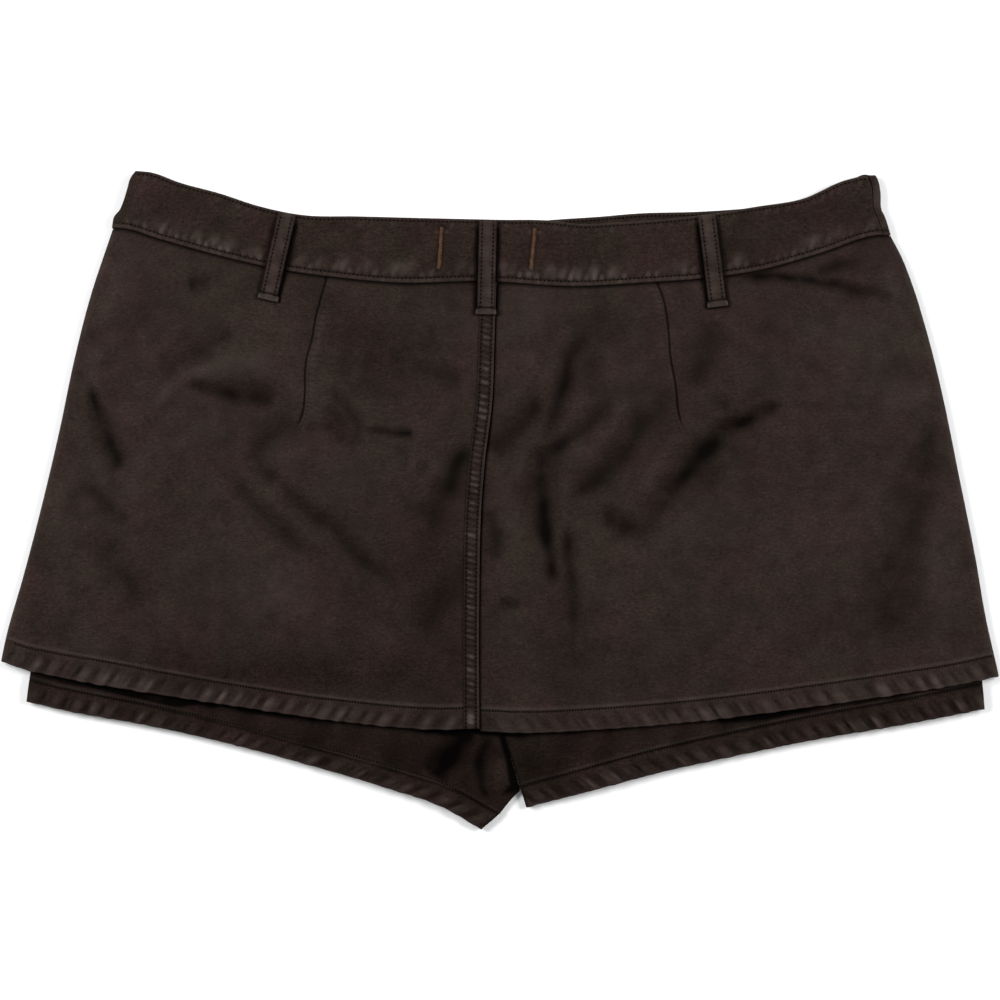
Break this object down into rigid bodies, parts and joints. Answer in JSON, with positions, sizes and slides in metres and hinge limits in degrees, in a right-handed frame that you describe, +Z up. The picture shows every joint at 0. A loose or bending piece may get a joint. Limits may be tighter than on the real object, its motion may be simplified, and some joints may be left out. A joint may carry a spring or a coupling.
{
  "type": "skort",
  "caption": "Short coated-cloth skort laid flat with its back uppermost: curved waistband, belt loops, darts, a felled centre-back seam and shorts showing below the skirt.",
  "frame": {"origin": "middle of the garment's outline as it lies, on the surface it lies on", "axes": "+X across the garment, to the right as it is seen from above with the waist at the top; +Y towards the waist; +Z up, out of the garment's back"},
  "size_m": [0.5899, 0.3885, 0.0111],
  "materials": {
    "waistband_cloth": "dark brown coated cloth with a leather-like satin sheen, topstitched",
    "belt_loop_cloth": "dark brown coated cloth folded into flat strips, topstitched along both edges",
    "skirt_cloth": "dark brown coated cloth with a leather-like satin sheen",
    "shorts_cloth": "dark brown coated cloth with a leather-like satin sheen"
  },
  "bodies": {
    "root": {"waistband_back": "waistband_cloth", "waistband_front_left": "waistband_cloth", "waistband_front_right": "waistband_cloth", "belt_loop_left": "belt_loop_cloth", "belt_loop_center": "belt_loop_cloth", "belt_loop_right": "belt_loop_cloth", "skirt_back_left": "skirt_cloth", "skirt_back_right": "skirt_cloth", "skirt_front_left": "skirt_cloth", "skirt_front_right": "skirt_cloth", "shorts_back_left": "shorts_cloth", "shorts_back_right": "shorts_cloth", "shorts_front_left": "shorts_cloth", "shorts_front_right": "shorts_cloth"}
  },
  "joints": []
}
